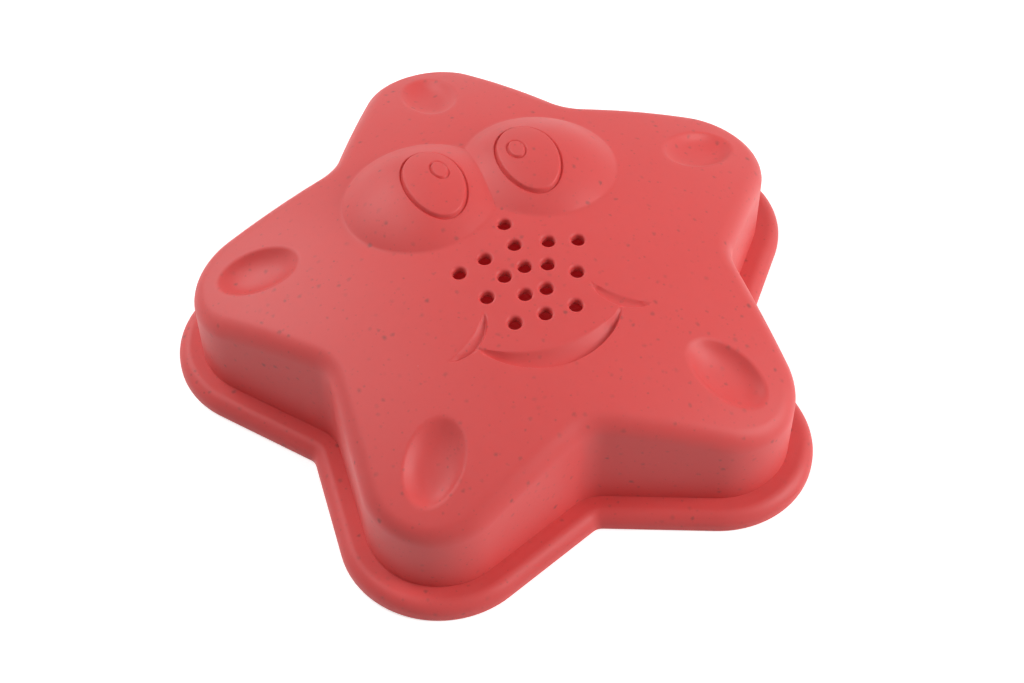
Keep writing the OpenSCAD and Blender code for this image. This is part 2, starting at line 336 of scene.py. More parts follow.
# %% Lay the lines of the smile
smile_low, smile_high = node_box("smile")
smile_width = smile_high.x - smile_low.x
smile_drop = star_y - smile_high.y
smile_upper_sag = 5.5
smile_lower_sag = smile_high.y - smile_low.y
cheek_middle = np.array([smile_width / 2 + 1.15, -smile_drop + 3.2])
cheek_slant = math.radians(37.8)
cheek_length = 13.0
cheek_upper_sag = 0.9
cheek_lower_sag = 3.0
INNER_SHARES = (0.12, 0.35, 0.6, 0.8, 0.92)
UPPER_MARGINS = (0.7, 0.3, 0.0)
LOWER_MARGINS = (-0.15, 0.0, 0.1, 0.2, 0.3, 0.42, 0.56, 0.8)


def sag_radius(chord, sag):
    """Radius of an arc that sags below its chord."""
    return ((chord / 2) ** 2 + sag ** 2) / (2 * sag)


def crescent_lines(chord, upper_sag, lower_sag):
    """Lines along a crescent that hangs below a level chord with its middle at zero."""
    upper, lower = sag_radius(chord, upper_sag), sag_radius(chord, lower_sag)
    x = np.linspace(-chord / 2, chord / 2, int(chord / 0.4))
    upper_y = upper - upper_sag - np.sqrt(upper ** 2 - x ** 2)
    lower_y = lower - lower_sag - np.sqrt(lower ** 2 - x ** 2)
    depth = upper_y - lower_y
    lines = []
    for margin in UPPER_MARGINS:
        grown = np.column_stack([x, upper_y - upper + upper_sag]) * (1 - margin / upper)
        lines.append((grown + [0, upper - upper_sag])[depth > 0.15])
    for share in INNER_SHARES:
        lines.append(np.column_stack([x, upper_y - share * depth])[depth > 0.9])
    for margin in LOWER_MARGINS:
        grown = np.column_stack([x, lower_y - lower + lower_sag]) * (1 + margin / lower)
        lines.append(grown + [0, lower - lower_sag])
    return lines


def turned(line, angle):
    """A line turned about zero."""
    cosine, sine = math.cos(angle), math.sin(angle)
    return line @ np.array([[cosine, sine], [-sine, cosine]])


lay([line - [0, smile_drop] for line in crescent_lines(smile_width, smile_upper_sag, smile_lower_sag)],
    closed=False)
cheek_lines = [turned(line, -cheek_slant) + cheek_middle
               for line in crescent_lines(cheek_length, cheek_upper_sag, cheek_lower_sag)]
for side in (np.ones(2), MIRROR):
    lay([line * side for line in cheek_lines], closed=False, clearance=0.3)
print("Plan after the smile:", len(plan_places), "places")

# %% [markdown]
# Sixteen drain holes make the sieve, in rows that fan out below the eyes. The middle column is a list of
# its own, and the rest are pairs, so only the right one of each pair is written. A dimple in the end of
# each arm is a soft oval dish, and one dimple turned five times gives them all.

# %% Lay the lines of the holes and dimples
HOLE_MARGINS = (-0.12, 0.05, 0.11, 0.19, 0.29, 0.41, 0.55, 0.75)
DIMPLE_SCALES = (0.12, 0.3, 0.48, 0.64, 0.77, 0.87, 0.95, 1.02, 1.1, 1.2)
HOLE_STEPS = 40
DIMPLE_STEPS = 52

hole_diameter = 3.0
middle_holes = [2.9, -3.4, -9.75, -22.4]
paired_holes = [(7.25, -4.8), (13.55, -6.3), (4.9, -10.7), (10.2, -14.4), (2.4, -16.55), (6.85, -22.4)]
holes = [(0.0, y) for y in middle_holes]
holes += [(side * x, y) for x, y in paired_holes for side in (-1, 1)]
holes = np.array(holes)
for hole in holes:
    lay([oval(hole, hole_diameter, hole_diameter, margin, HOLE_STEPS) for margin in HOLE_MARGINS],
        clearance=0.1)

dimple_low, dimple_high = node_box("top_arm_dimple")
dimple_reach = (dimple_low.y + dimple_high.y) / 2 - star_y
dimple_width = dimple_high.x - dimple_low.x
dimple_length = dimple_high.y - dimple_low.y
for arm in range(ARMS):
    rings = [oval((0, 0), scale * dimple_width, scale * dimple_length, 0, DIMPLE_STEPS)
             for scale in DIMPLE_SCALES]
    lay([turned(ring + [0, dimple_reach], arm * ARM_TURN) for ring in rings])
print("Plan after the holes and dimples:", len(plan_places), "places")

# %% [markdown]
# What is left of the plan is filled with an even scatter, in the staggered rows that make the
# triangles nearly equal-sided. A place belongs to the star if a ray from it crosses the border an odd
# number of times.

# %% Fill the rest and join the places
BORDER_MARGINS = (0.8, 1.7, 2.8)
SCATTER = 0.95


def inside(places, loop):
    """Which places lie inside a closed loop."""
    x, y = places[:, :1], places[:, 1:]
    x1, y1 = loop.T
    x2, y2 = np.roll(loop, -1, axis=0).T
    spans = (y1 > y) != (y2 > y)
    crossing = x1 + (y - y1) * (x2 - x1) / np.where(y1 == y2, 1, y2 - y1)
    return (spans & (x < crossing)).sum(axis=1) % 2 == 1


lay([border - margin * outward for margin in BORDER_MARGINS], clearance=0.6)
reach = arm_reach + tip_radius
scatter = np.array([(x + (row % 2) * SCATTER / 2, row * SCATTER * math.sqrt(3) / 2)
                    for row in range(-int(reach / SCATTER * 1.2), int(reach / SCATTER * 1.2))
                    for x in np.arange(-reach, reach, SCATTER)])
scatter = scatter[inside(scatter, border)]
scatter = scatter[gaps(scatter, plan_places) > 0.6 * SCATTER]
plan_places.extend(map(tuple, scatter))

INSIDE_BORDER = 1
joined = geometry.delaunay_2d_cdt(
    [Vector(place) for place in plan_places], plan_edges, [], INSIDE_BORDER, 1e-5)
plan = np.array([tuple(place) for place in joined[0]])
triangles = np.array(joined[2])
origin_of = {}
for number, sources in enumerate(joined[3]):
    origin_of.update((source, number) for source in sources)
border_numbers = np.array([origin_of[number] for number in range(len(border))])
print("Plan:", len(plan), "places and", len(triangles), "triangles")

# %% [markdown]
# ## The crowned blank
#
# The plan now becomes the blank: the star before the face is in it. One copy is lifted onto the crown, a
# second one onto a crown that is smaller by the wall's thickness, and the rows of the shoulder and the
# wall join the two into a closed shell. Two attributes tell the next step which points are on the top
# and which of them are on the inside.

# %% Build the blank
star_middle = np.array([0.0, star_y, 0.0])


def shell_faces(sheet_count, border_rows):
    """Faces of the two sheets and of the bands between the rows."""
    faces = [tuple(triangle) for triangle in triangles]
    faces += [tuple(triangle[::-1] + sheet_count) for triangle in triangles]
    for upper, lower in zip(border_rows, border_rows[1:]):
        right_upper, right_lower = np.roll(upper, -1), np.roll(lower, -1)
        faces += list(zip(upper, lower, right_lower, right_upper))
    return faces


def new_piece(name, places, faces):
    """A mesh object at the origin, from places in millimetres."""
    mesh = bpy.data.meshes.new(name)
    mesh.from_pydata((places * MM).tolist(), [], [tuple(map(int, face)) for face in faces])
    mesh.validate()
    piece = bpy.data.objects.new(name, mesh)
    bpy.context.scene.collection.objects.link(piece)
    return piece


def volume(mesh):
    """Volume in cubic centimetres; it is negative if the faces point inwards."""
    mesh.calc_loop_triangles()
    places = np.array([vertex.co for vertex in mesh.vertices])
    corners = places[np.array([triangle.vertices for triangle in mesh.loop_triangles])]
    return np.einsum("ij,ij->i", corners[:, 0], np.cross(corners[:, 1], corners[:, 2])).sum() / 6e-6


outside_sheet = np.column_stack([plan, crown_height(plan)])
inside_sheet = crown_middle + (outside_sheet - crown_middle) * (crown_radius - wall) / crown_radius
count = len(plan)
band = len(border)
row_numbers = [border_numbers]
row_numbers += [np.arange(band) + 2 * count + number * band for number in range(len(rows) - 2)]
row_numbers += [border_numbers + count]
shell_places = np.vstack([outside_sheet, inside_sheet, *rows[1:-1]]) + star_middle
shell = new_piece("star_shell", shell_places, shell_faces(count, row_numbers))

on_top = np.arange(len(shell_places)) < 2 * count
on_inside = on_top & (np.arange(len(shell_places)) >= count)
for label, flags in (("on_top", on_top), ("on_inside", on_inside)):
    attribute = shell.data.attributes.new(label, "FLOAT", "POINT")
    attribute.data.foreach_set("value", flags.astype(np.float32))
print("Blank:", len(shell.data.polygons), "faces,", round(volume(shell.data), 2), "cubic cm")

# %% [markdown]
# ## Node trees that read as formulas
#
# The face follows a rule for every point: its height depends only on where it lies in the plan. That is
# what fields in Geometry Nodes are for. Wiring some two hundred math nodes by hand is slow to write and
# to read, so a small class stands for a number in a tree. Adding or multiplying two of them adds the
# node, and the lesson can then write heights as formulas.

# %% Write node trees as formulas
class Field:
    """A number that flows through a node tree."""

    def __init__(self, tree, socket):
        self.tree = tree
        self.socket = socket

    def through(self, operation, *others):
        node = self.tree.nodes.new("ShaderNodeMath")
        node.operation = operation
        for socket, value in zip(node.inputs, (self, *others)):
            if isinstance(value, Field):
                self.tree.links.new(value.socket, socket)
            else:
                socket.default_value = value
        return Field(self.tree, node.outputs[0])

    def __add__(self, other):
        return self.through("ADD", other)

    def __sub__(self, other):
        return self.through("SUBTRACT", other)

    def __rsub__(self, other):
        return self.through("MULTIPLY_ADD", -1.0, other)

    def __mul__(self, other):
        return self.through("MULTIPLY", other)

    def __truediv__(self, other):
        return self.through("DIVIDE", other)

    def squared(self):
        return self.through("MULTIPLY", self)

    def root(self):
        return self.through("SQRT")

    def at_least(self, other):
        return self.through("MAXIMUM", other)

    def at_most(self, other):
        return self.through("MINIMUM", other)

    def blend_up(self, other, width):
        return self.through("SMOOTH_MAX", other, width)

    def blend_down(self, other, width):
        return self.through("SMOOTH_MIN", other, width)

    def ramp(self, low, high):
        """Rises softly from 0 at low to 1 at high."""
        node = self.tree.nodes.new("ShaderNodeMapRange")
        node.interpolation_type = "SMOOTHSTEP"
        for socket, value in zip(node.inputs, (self, low, high)):
            if isinstance(value, Field):
                self.tree.links.new(value.socket, socket)
            else:
                socket.default_value = value
        return Field(self.tree, node.outputs[0])


# %% [markdown]
# Every tree of the lesson begins with the same kinds of named inputs, ends with real geometry and a
# material, and is turned into a plain mesh when it has done its work. A modifier stack would keep the
# trees live, but the finished pieces are to be meshes that any program can read.

# %% Begin, end and use a tree
def new_tree(name, sizes, objects=()):
    """A tree with named inputs: sizes, objects and a material."""
    tree = bpy.data.node_groups.new(name, "GeometryNodeTree")
    tree.interface.new_socket("Geometry", in_out="OUTPUT", socket_type="NodeSocketGeometry")
    tree.interface.new_socket("Geometry", in_out="INPUT", socket_type="NodeSocketGeometry")
    for label in sizes:
        tree.interface.new_socket(label, in_out="INPUT", socket_type="NodeSocketFloat")
    for label in objects:
        tree.interface.new_socket(label, in_out="INPUT", socket_type="NodeSocketObject")
    tree.interface.new_socket("Material", in_out="INPUT", socket_type="NodeSocketMaterial")
    entry = tree.nodes.new("NodeGroupInput")
    fields = {label: Field(tree, entry.outputs[label]) for label in sizes}
    return tree, entry, fields


def end_tree(tree, entry, socket):
    """Every tree ends the same way: instances made real, then the material."""
    real = tree.nodes.new("GeometryNodeRealizeInstances")
    paint = tree.nodes.new("GeometryNodeSetMaterial")
    leave = tree.nodes.new("NodeGroupOutput")
    tree.links.new(socket, real.inputs[0])
    tree.links.new(real.outputs[0], paint.inputs["Geometry"])
    tree.links.new(entry.outputs["Material"], paint.inputs["Material"])
    tree.links.new(paint.outputs[0], leave.inputs[0])


def add_tree(piece, tree, values):
    """Puts a tree on a piece and sets its inputs by their identifiers."""
    modifier = piece.modifiers.new(tree.name, "NODES")
    modifier.node_group = tree
    for item in tree.interface.items_tree:
        if item.in_out == "INPUT" and item.name in values:
            modifier[item.identifier] = values[item.name]


def plain_mesh(piece):
    """The piece's evaluated shape as a mesh of its own."""
    bpy.context.view_layer.update()
    depsgraph = bpy.context.evaluated_depsgraph_get()
    return bpy.data.meshes.new_from_object(piece.evaluated_get(depsgraph))


def in_metres(sizes):
    """Sizes in millimetres as the metres that a tree works in."""
    return {label: size * MM for label, size in sizes.items()}


# %% [markdown]
# ## The plastic
#
# The toy is moulded in a coral-red plastic with a satin skin. Close to, it isn't one colour: fine dark
# flecks lie in it, some at the surface and some sunk so that they only show as grey shadows, and the
# red drifts a little from place to place. An image could hold that, but a pattern made of noise in the
# object's own coordinates runs on round every edge without a seam. The flecks are the cells of a Voronoi
# texture in space: where the surface happens to cut near a cell's middle, a fleck shows. As with the
# shapes, a small class keeps the wiring short.

# %% Write materials in short calls
class Shader:
    """A material's node tree, with one short call for each node."""

    def __init__(self, name):
        self.material = bpy.data.materials.new(name)
        self.material.use_nodes = True
        self.tree = self.material.node_tree
        self.surface = self.tree.nodes["Principled BSDF"]

    def put(self, socket, value):
        if isinstance(value, bpy.types.NodeSocket):
            self.tree.links.new(value, socket)
        else:
            socket.default_value = value

    def node(self, kind, output=0, **inputs):
        node = self.tree.nodes.new(kind)
        for label, value in inputs.items():
            self.put(node.inputs[label], value)
        return node.outputs[output]

    def math(self, operation, *values):
        node = self.tree.nodes.new("ShaderNodeMath")
        node.operation = operation
        for socket, value in zip(node.inputs, values):
            self.put(socket, value)
        return node.outputs[0]

    def fade(self, value, start, end):
        """1 up to start, falling softly to 0 at end."""
        node = self.tree.nodes.new("ShaderNodeMapRange")
        node.interpolation_type = "SMOOTHSTEP"
        for label, setting in (("Value", value), ("From Min", start), ("From Max", end)):
            self.put(node.inputs[label], setting)
        node.inputs["To Min"].default_value = 1.0
        node.inputs["To Max"].default_value = 0.0
        return node.outputs[0]

    def mix(self, share, first, second):
        node = self.tree.nodes.new("ShaderNodeMix")
        node.data_type = "RGBA"
        self.put(node.inputs["Factor"], share)
        self.put(node.inputs[6], first)
        self.put(node.inputs[7], second)
        return node.outputs[2]


# %% [markdown]
# Larger and smaller flecks are two layers, and the stronger one shows. A few pale scuffs lie between them
# in the same way. Spacing and radius are in millimetres, and the strength says how far the fleck's own
# colour takes over. Light goes a little way into the plastic, which keeps thin edges and hollows red.

# %% Mix the speckled plastic
CORAL = (0.730, 0.092, 0.089, 1.0)
CORAL_DEEP = (0.680, 0.076, 0.073, 1.0)
FLECK = (0.130, 0.062, 0.055, 1.0)
SCUFF = (0.80, 0.42, 0.40, 1.0)
LARGE_FLECKS = {"spacing": 2.2, "radius": 0.75, "strength": 0.65}
SMALL_FLECKS = {"spacing": 1.3, "radius": 0.38, "strength": 0.42}
PALE_SCUFFS = {"spacing": 7.0, "radius": 0.22, "strength": 0.35}


def fleck_layer(shader, place, spacing, radius, strength):
    """How strongly flecks of one size show: they differ in size and in how deep they lie."""
    wobble = shader.node("ShaderNodeTexNoise", Vector=place, Scale=0.9 / (radius * MM), Detail=2.0)
    cells = shader.node("ShaderNodeTexVoronoi", Vector=place, Scale=1 / (spacing * MM)).node
    part = shader.node("ShaderNodeSeparateColor", Color=cells.outputs["Color"]).node
    ragged = shader.math("MULTIPLY_ADD", wobble, 1.1 * radius / spacing, cells.outputs["Distance"])
    size = shader.math("MULTIPLY_ADD", part.outputs["Red"], 0.9 * radius / spacing, 0.85 * radius / spacing)
    edge = shader.math("MULTIPLY", size, 0.25)
    spot = shader.fade(ragged, edge, size)
    depth = shader.math("MULTIPLY", shader.math("POWER", part.outputs["Green"], 1.4), strength)
    return shader.math("MULTIPLY", spot, depth)


def speckled_plastic():
    shader = Shader("speckled_coral_plastic")
    place = shader.node("ShaderNodeTexCoord", output=3)
    drift = shader.node("ShaderNodeTexNoise", Vector=place, Scale=28.0, Detail=3.0)
    mottle = shader.node("ShaderNodeTexNoise", Vector=place, Scale=420.0, Detail=3.0)
    cloud = shader.math("MULTIPLY_ADD", mottle, 0.45, shader.math("MULTIPLY", drift, 0.55))
    red = shader.mix(cloud, CORAL_DEEP, CORAL)
    scuffs = fleck_layer(shader, place, **PALE_SCUFFS)
    red = shader.mix(scuffs, red, SCUFF)
    flecks = shader.math("MAXIMUM", fleck_layer(shader, place, **LARGE_FLECKS),
                         fleck_layer(shader, place, **SMALL_FLECKS))
    red = shader.mix(flecks, red, FLECK)
    shader.put(shader.surface.inputs["Base Color"], red)
    grain = shader.node("ShaderNodeTexNoise", Vector=place, Scale=2600.0, Detail=2.0)
    satin = shader.math("MULTIPLY_ADD", mottle, 0.10, 0.43)
    shader.put(shader.surface.inputs["Roughness"], satin)
    skin = shader.node("ShaderNodeBump", Height=grain, Strength=0.05, Distance=0.0001)
    shader.put(shader.surface.inputs["Normal"], skin)
    shader.surface.inputs["IOR"].default_value = 1.49
    shader.surface.inputs["Specular IOR Level"].default_value = 0.35
    shader.surface.inputs["Subsurface Weight"].default_value = 0.4
    shader.surface.inputs["Subsurface Radius"].default_value = (1.0, 0.18, 0.15)
    shader.surface.inputs["Subsurface Scale"].default_value = 1.0 * MM
    return shader.material


plastic = speckled_plastic()
print("Plastic:", len(plastic.node_tree.nodes), "nodes")

# %% [markdown]
# ## The face
#
# On the real toy the face is cut into the tool, and the plastic takes it up. It could be sculpted, but
# each feature is a simple solid shape: balls for the domes, raised ovals for the irises and pupils,
# shallow dishes for the dimples, sloping crescents for the smile. Each is a formula for the height, and
# the features are joined with smooth maximum and minimum, which leave the small fillets that a moulding
# has where two shapes meet. The inside of the shell follows the same formulas without the fine edges.

# %% Name the sizes of the face
face_sizes = {
    "Star middle": star_y, "Wall": wall,
    "Dome X": dome_middle[0], "Dome Y": dome_middle[1], "Dome Z": dome_middle[2],
    "Dome radius": dome_radius, "Foot blend": 0.22, "Crease blend": 0.1,
    "Iris X": iris_middle[0], "Iris Y": iris_middle[1],
    "Iris width": iris_width, "Iris length": iris_length, "Iris height": 0.45,
    "Pupil X": pupil_middle[0], "Pupil Y": pupil_middle[1],
    "Pupil width": pupil_width, "Pupil length": pupil_length, "Pupil height": 0.22,
    "Iris edge": 0.95, "Iris groove": 0.5, "Pupil edge": 0.85, "Pupil groove": 0.4,
    "Dimple reach": dimple_reach, "Dimple width": dimple_width, "Dimple length": dimple_length,
    "Dimple depth": 2.6, "Dimple blend": 0.4,
    "Smile drop": smile_drop, "Smile width": smile_width, "Smile depth": 1.4,
    "Smile upper sag": smile_upper_sag, "Smile lower sag": smile_lower_sag,
    "Cheek X": cheek_middle[0], "Cheek Y": cheek_middle[1], "Cheek length": cheek_length,
    "Cheek upper sag": cheek_upper_sag, "Cheek lower sag": cheek_lower_sag, "Cheek depth": 0.8,
    "Step width": 0.55, "Ramp blend": 0.12,
    "Hole radius": hole_diameter / 2, "Hole edge": 0.6,
}
print("Sizes of the face:", len(face_sizes))


# %% [markdown]
# Each feature gets a function of its own. A pad is a plateau with a groove round it, a crescent falls
# away and ends in a step, and a dimple is a dish that is laid once and repeated by folding the plane.
# The left half of the face mirrors the right one, because the formulas use the distance from the centre
# line in place of x.

# %% Write the formulas of the face
def oval_distance(x, y, width, length):
    """About how far a place lies outside an oval, and less than zero inside it."""
    across, along = x / (width / 2), y / (length / 2)
    reach = (across.squared() + along.squared()).root()
    steepness = ((across / (width / 2)).squared() + (along / (length / 2)).squared()).root()
    return (reach - 1) * reach / steepness


def pad_height(x, y, size, name):
    """An oval pad with a rounded edge and a fine groove round it."""
    away = oval_distance(x - size[f"{name} X"], y - size[f"{name} Y"],
                         size[f"{name} width"], size[f"{name} length"])
    edge = size[f"{name} edge"]
    plateau = size[f"{name} height"] * (1 - away.ramp(edge * -1.0, edge * -0.4))
    groove = away.ramp(edge * -0.9, edge * -0.4) - away.ramp(edge * -0.4, edge * 0.1)
    return plateau - groove * size[f"{name} groove"]


def crescent_drop(x, y, size, name):
    """A hollow that falls from the upper arc, levels out, and ends in a step at the lower arc."""
    length = size[f"{name} length"] if f"{name} length" in size else size[f"{name} width"]
    upper_sag, lower_sag = size[f"{name} upper sag"], size[f"{name} lower sag"]

    def beyond(sag):
        radius = ((length / 2).squared() + sag.squared()) / (sag * 2)
        return (x.squared() + (y - radius + sag).squared()).root() - radius

    past_upper = beyond(upper_sag).blend_up(0.0, size["Ramp blend"])
    past_lower = beyond(lower_sag)
    width = (past_upper - past_lower).at_least(size["Ramp blend"])
    left = 1 - (past_upper / width).at_most(1.0)
    depth = size[f"{name} depth"] * (width / (lower_sag - upper_sag) * 2.2).at_most(1.0)
    fall = depth * (1 - left.squared())
    return fall * (1 - past_lower.ramp(0.0, size["Step width"]))


def dimple_dish(x, y, height, size):
    """One dish, laid five times round the star by folding the plane."""
    angle = x.through("ARCTAN2", y)
    folded = angle - (angle / ARM_TURN).through("ROUND") * ARM_TURN
    away = (x.squared() + y.squared()).root()
    along = (away * folded.through("COSINE") - size["Dimple reach"]) / (size["Dimple length"] / 2)
    across = away * folded.through("SINE") / (size["Dimple width"] / 2)
    spread = (along.squared() + across.squared()).root()
    return height - size["Dimple depth"] * (1 - spread.squared() * spread)


def face_height(x, y, height, is_inside, near_hole, size):
    """Height of the finished shell over the plan, from the height of the blank."""
    side = (x.squared() + size["Crease blend"].squared()).root()
    ball = size["Dome radius"] - size["Wall"] * is_inside
    gap = (side - size["Dome X"]).squared() + (y - size["Dome Y"]).squared()
    dome = size["Dome Z"] + (ball.squared() - gap).at_least(0.0).root()
    height = height.blend_up(dome, size["Foot blend"])
    pads = pad_height(side, y, size, "Iris") + pad_height(side, y, size, "Pupil")
    height = height + pads * (1 - is_inside)
    height = height.blend_down(dimple_dish(x, y, height, size), size["Dimple blend"])
    height = height - crescent_drop(x, y + size["Smile drop"], size, "Smile")
    cheek_x, cheek_y = side - size["Cheek X"], y - size["Cheek Y"]
    cosine, sine = math.cos(cheek_slant), math.sin(cheek_slant)
    height = height - crescent_drop(cheek_x * cosine - cheek_y * sine,
                                    cheek_x * sine + cheek_y * cosine, size, "Cheek")
    rounding = size["Hole edge"]
    turn = ((size["Hole radius"] + rounding - near_hole) / rounding).at_least(0.0).at_most(1.0)
    return height - rounding * (1 - (1 - turn.squared()).root())


# %% [markdown]
# The tree reads where each point lies and how near it is to a hole's middle, works out its new height,
# and moves only the points that are marked as on the top. A displacement texture could do the same with
# an image, but its steps would show on lines as fine as these.

# %% Build the tree of the face
def face_tree():
    tree, entry, size = new_tree("Star face", face_sizes, ["Hole places"])
    links = tree.links.new
    place = tree.nodes.new("ShaderNodeSeparateXYZ")
    links(tree.nodes.new("GeometryNodeInputPosition").outputs[0], place.inputs[0])
    x, y, height = (Field(tree, socket) for socket in place.outputs)

    def mark(label):
        node = tree.nodes.new("GeometryNodeInputNamedAttribute")
        node.inputs["Name"].default_value = label
        return Field(tree, node.outputs["Attribute"])

    places = tree.nodes.new("GeometryNodeObjectInfo")
    links(entry.outputs["Hole places"], places.inputs["Object"])
    near = tree.nodes.new("GeometryNodeProximity")
    near.target_element = "POINTS"
    links(places.outputs["Geometry"], near.inputs["Target"])
    near_hole = Field(tree, near.outputs["Distance"])

    raised = face_height(x, y - size["Star middle"], height, mark("on_inside"), near_hole, size)
    new_place = tree.nodes.new("ShaderNodeCombineXYZ")
    for field, socket in zip((x, y, raised), new_place.inputs):
        links(field.socket, socket)
    move = tree.nodes.new("GeometryNodeSetPosition")
    links(entry.outputs["Geometry"], move.inputs["Geometry"])
    links(mark("on_top").socket, move.inputs["Selection"])
    links(new_place.outputs[0], move.inputs["Position"])
    end_tree(tree, entry, move.outputs[0])
    return tree


hole_tops = np.column_stack([holes, crown_height(holes)]) + star_middle
hole_places = new_piece("hole_places", hole_tops, [])
star_face = face_tree()
add_tree(shell, star_face, {**in_metres(face_sizes), "Hole places": hole_places, "Material": plastic})
print("Tree of the face:", len(star_face.nodes), "nodes")

# %% [markdown]
# ## The drain holes
#
# The sieve lets water out and holds wet sand back. Straight pins in the tool leave sixteen round holes.
# They repeat, so they are punched in one go: a pin is set on every hole place, the pins are made real,
# and a boolean takes them out of the shell. The soft edge round each hole is there already, because the
# face's formula rounds the plastic down near every place.

# %% Punch the drain holes
PIN_LENGTH = 12.0
SHARP_DEGREES = 38


def punch_tree():
    tree, entry, size = new_tree("Drain holes", ["Hole radius", "Pin length"], ["Hole places"])
    links = tree.links.new
    places = tree.nodes.new("GeometryNodeObjectInfo")
    links(entry.outputs["Hole places"], places.inputs["Object"])
    pin = tree.nodes.new("GeometryNodeMeshCylinder")
    pin.inputs["Vertices"].default_value = HOLE_STEPS
    links(size["Hole radius"].socket, pin.inputs["Radius"])
    links(size["Pin length"].socket, pin.inputs["Depth"])
    pins = tree.nodes.new("GeometryNodeInstanceOnPoints")
    links(places.outputs["Geometry"], pins.inputs["Points"])
    links(pin.outputs["Mesh"], pins.inputs["Instance"])
    real = tree.nodes.new("GeometryNodeRealizeInstances")
    links(pins.outputs[0], real.inputs[0])
    punch = tree.nodes.new("GeometryNodeMeshBoolean")
    punch.operation = "DIFFERENCE"
    punch.solver = "MANIFOLD"
    links(entry.outputs["Geometry"], punch.inputs["Mesh 1"])
    links(real.outputs[0], punch.inputs["Mesh 2"])
    end_tree(tree, entry, punch.outputs["Mesh"])
    return tree


def finish_mesh(mesh):
    """Smooth shading, with edges kept crisp where the surface turns sharply."""
    mesh.shade_smooth()
    mesh.set_sharp_from_angle(angle=math.radians(SHARP_DEGREES))


add_tree(shell, punch_tree(), {**in_metres({"Hole radius": hole_diameter / 2, "Pin length": PIN_LENGTH}),
                               "Hole places": hole_places, "Material": plastic})
shell_mesh = plain_mesh(shell)
shell.modifiers.clear()
shell.data = shell_mesh
bpy.data.objects.remove(hole_places)
finish_mesh(shell_mesh)
print("Shell:", len(shell_mesh.polygons), "faces,", round(volume(shell_mesh), 2), "cubic cm")

# %% [markdown]
# ## The rim
#
# Round the mouth the plastic turns out into a narrow land and then down into a skirt, which stiffens the
# shell and gives fingers an edge. It has the same section all the way, so it is a section swept along the
# star's outline. The section is drawn with square corners, each with the radius that it is to have, and
# the Fillet Curve node rounds them before Curve to Mesh does the sweep.

# %% Sweep the rim
rim_reach = node_box("rim")[1].x - wall_high.x
rim_round = 3.2
edge_round = 0.45
FILLET_STEPS = 10


def curve_piece(name, places, radii):
    """A closed curve of straight pieces; each point's radius is in millimetres too."""
    curve = bpy.data.curves.new(name, "CURVE")
    curve.dimensions = "3D"
    spline = curve.splines.new("POLY")
    spline.points.add(len(places) - 1)
    for point, place, radius in zip(spline.points, places, radii):
        point.co = (*(np.array(place) * MM), 1.0)
        point.radius = radius * MM
    spline.use_cyclic_u = True
    piece = bpy.data.objects.new(name, curve)
    bpy.context.scene.collection.objects.link(piece)
    return piece


def rim_tree():
    tree, entry, _ = new_tree("Turned rim", [], ["Section"])
    links = tree.links.new
    section = tree.nodes.new("GeometryNodeObjectInfo")
    links(entry.outputs["Section"], section.inputs["Object"])
    corners = tree.nodes.new("GeometryNodeInputRadius")
    fillet = tree.nodes.new("GeometryNodeFilletCurve")
    fillet.mode = "POLY"
    fillet.inputs["Count"].default_value = FILLET_STEPS
    links(section.outputs["Geometry"], fillet.inputs["Curve"])
    links(corners.outputs[0], fillet.inputs["Radius"])
    upright_path = tree.nodes.new("GeometryNodeSetCurveNormal")
    upright_path.mode = "Z_UP"
    links(entry.outputs["Geometry"], upright_path.inputs["Curve"])
    sweep = tree.nodes.new("GeometryNodeCurveToMesh")
    links(upright_path.outputs[0], sweep.inputs["Curve"])
    links(fillet.outputs[0], sweep.inputs["Profile Curve"])
    end_tree(tree, entry, sweep.outputs[0])
    return tree


rim_corners = [
    ((rim_reach - wall, 0), edge_round), ((rim_reach - wall, rim_height - wall), rim_round - wall),
    ((-wall, rim_height - wall), 0), ((-wall, rim_height), 0), ((rim_reach, rim_height), rim_round),
    ((rim_reach, 0), edge_round),
]
section = curve_piece("rim_section", [(x, -height, 0) for (x, height), radius in rim_corners],
                      [radius for corner, radius in rim_corners])
path = curve_piece("rim_path", np.column_stack([outline, np.zeros(len(outline))]) + star_middle,
                   np.full(len(outline), 1 / MM))
add_tree(path, rim_tree(), {"Section": section, "Material": plastic})
rim_mesh = plain_mesh(path)
rim_piece = bpy.data.objects.new("turned_rim", rim_mesh)
bpy.context.scene.collection.objects.link(rim_piece)
for guide in (section, path):
    bpy.data.objects.remove(guide)
finish_mesh(rim_mesh)
print("Rim:", len(rim_mesh.polygons), "faces,", round(volume(rim_mesh), 2), "cubic cm")

# %% [markdown]
# ## Joining the pieces to the frame
#
# Nothing on the toy moves, so the frame has one body and both pieces ride on it. The shell stands for the
# wall, the shoulder, the top and everything on the face, and the rim stands for the CAD rim.

# %% Ride on the frame
shell_nodes = [node for node in frame["nodes"] if node != "rim"]
for piece, nodes in ((shell, shell_nodes), (rim_piece, ["rim"])):
    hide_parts(*nodes)
    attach(piece, "root")
    print(piece.name, "stands for", len(nodes), "CAD nodes")

# %% [markdown]
# ## The studio
#
# The toy lies on a white sheet under large soft lamps. The floor is white to the eye and in reflections
# without lighting the toy more than a real sheet would: only rays from the camera and from glossy or
# clear surfaces see its added glow, and the toy's shadow still falls on it. Under the toy the star-shaped
# part of the sheet has a painted faint red glow instead, which stands in for the light that comes through
# the thin plastic, and that painted dark red is what shows through the drain holes.

# %% Lay the floor
FLOOR_WHITE = 0.80
FLOOR_GLOW = 0.62
FLOOR_REACH = 1500.0
# Painted red glow for the sheet under the toy, standing in for light that comes through the plastic.
PAINTED_THROUGH_RED = (0.205, 0.0035, 0.0045, 1.0)


